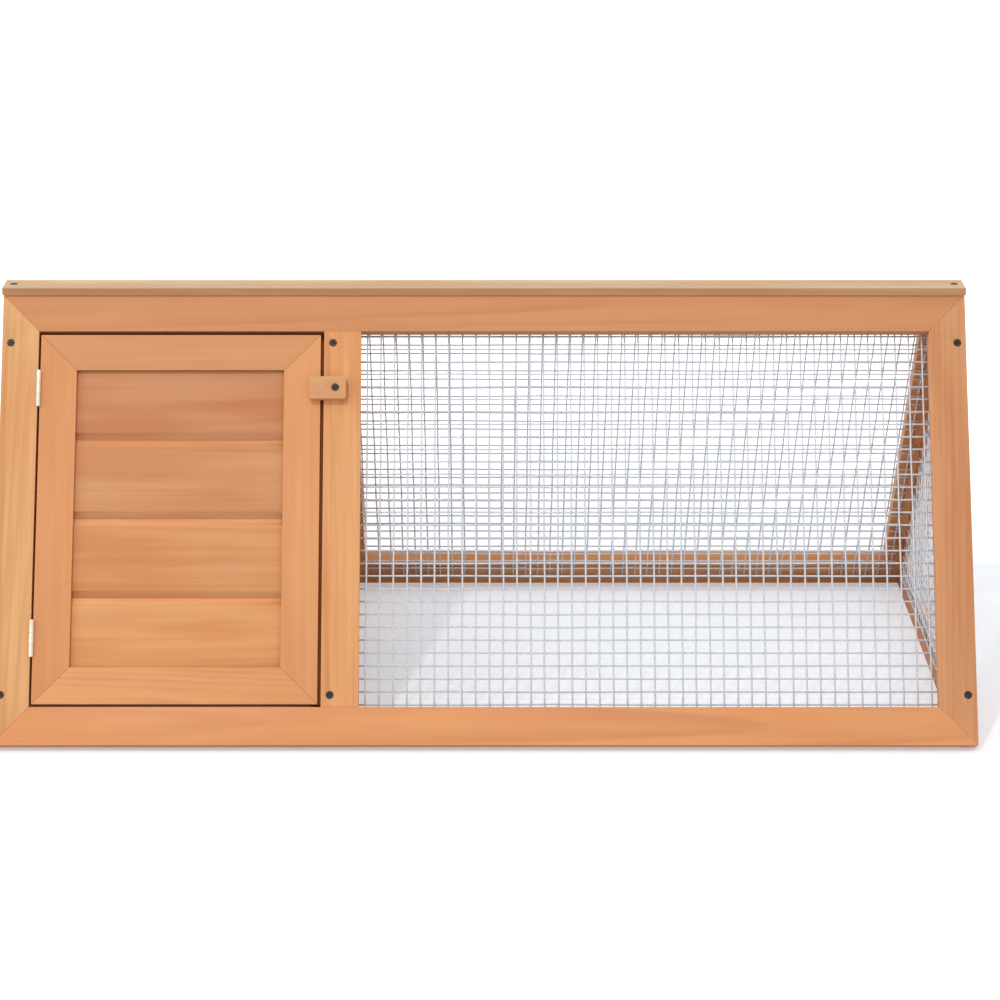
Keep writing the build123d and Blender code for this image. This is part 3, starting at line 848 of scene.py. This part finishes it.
bpy.ops.object.select_all(action="DESELECT")
bpy.ops.mesh.primitive_plane_add(size=floor_size, location=(0.0, 0.0, -floor_drop))
floor = bpy.context.object
floor.name = "floor"
floor_finish = bpy.data.materials.new("floor")
floor_finish.use_nodes = True
floor_tree = floor_finish.node_tree
floor_shader = floor_tree.nodes["Principled BSDF"]
floor_shader.inputs["Base Color"].default_value = floor_colour
floor_shader.inputs["Roughness"].default_value = floor_roughness
floor_shader.inputs["Specular IOR Level"].default_value = floor_specular
floor_place = add(floor_tree, "ShaderNodeTexCoord").outputs["Object"]
away = length_of(floor_tree, vector_node(floor_tree, "MULTIPLY", floor_place, round_cage))
reach = add(floor_tree, "ShaderNodeMapRange")
reach.inputs["From Min"].default_value = lift_start
reach.inputs["From Max"].default_value = lift_stop
reach.inputs["To Min"].default_value = near_lift
reach.inputs["To Max"].default_value = far_lift
floor_tree.links.new(away, reach.inputs["Value"])
floor_shader.inputs["Emission Color"].default_value = floor_glow
where = add(floor_tree, "ShaderNodeSeparateXYZ")
floor_tree.links.new(floor_place, where.inputs[0])
past_divider = math_node(floor_tree, "GREATER_THAN", where.outputs[0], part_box("divider_front_leg")[0].x)
depth = math_node(floor_tree, "ABSOLUTE", where.outputs[1])
past_panels = math_node(floor_tree, "GREATER_THAN", depth, shelter_depth)
past_gable = math_node(floor_tree, "LESS_THAN", where.outputs[0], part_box("left_gable_sill")[0].x)
open_air = math_node(floor_tree, "MAXIMUM", past_panels, past_gable)
open_air = math_node(floor_tree, "MAXIMUM", past_divider, open_air)
open_air = math_node(floor_tree, "MULTIPLY", open_air, 1 - shelter_glow)
open_air = math_node(floor_tree, "ADD", open_air, shelter_glow)
lift = math_node(floor_tree, "MULTIPLY", reach.outputs["Result"], open_air)
lift = math_node(floor_tree, "MULTIPLY", seen_straight(floor_tree), lift)
floor_tree.links.new(lift, floor_shader.inputs["Emission Strength"])
floor.data.materials.append(floor_finish)
print("floor", floor_size, "metres wide, with", len(floor_tree.nodes), "nodes")

# %% [markdown]
# An even pale surround stands in for the white walls of a studio. It shows pure white where it is seen, and
# lights the cage a little less than that, so the timbers keep their depth of colour.

# %% Surround
surround_level = 0.8
world = bpy.data.worlds.new("surround")
world.use_nodes = True
bpy.context.scene.world = world
sky_tree = world.node_tree
sky = sky_tree.nodes["Background"]
sky.inputs["Color"].default_value = (1.0, 1.0, 1.0, 1)
level = math_node(sky_tree, "MULTIPLY", seen_straight(sky_tree), 1.0 - surround_level)
sky_tree.links.new(math_node(sky_tree, "ADD", level, surround_level), sky.inputs["Strength"])
print("surround lights at", surround_level)

# %% [markdown]
# A product studio lights from one main side. One small lamp high at the front left brightens the upward
# edges, darkens the downward ones and lays the net's shadow on the floor, and a weak broad one stands low
# at the left. A large main lamp would be softer, and the shadow would lose its lines.


# %% Lamps
cage_middle = Vector((0.0, 0.0, 0.2))
key_size, key_power = 0.17, 54.0
side_size, side_power = 1.2, 7.0


def lamp(name, place, size, power):
    """A square lamp that faces the middle of the cage."""
    data = bpy.data.lights.new(name, "AREA")
    data.shape = "SQUARE"
    data.size = size
    data.energy = power
    source = bpy.data.objects.new(name, data)
    source.location = place
    source.rotation_euler = (cage_middle - Vector(place)).to_track_quat("-Z", "Y").to_euler()
    bpy.context.scene.collection.objects.link(source)
    return source


lamps = [
    lamp("key", (-1.2, -2.5, 4.1), key_size, key_power),
    lamp("side", (-2.8, -1.6, 0.9), side_size, side_power),
]
bpy.context.scene.view_settings.view_transform = "Standard"
print("lamps", [(source.name, source.data.energy) for source in lamps])
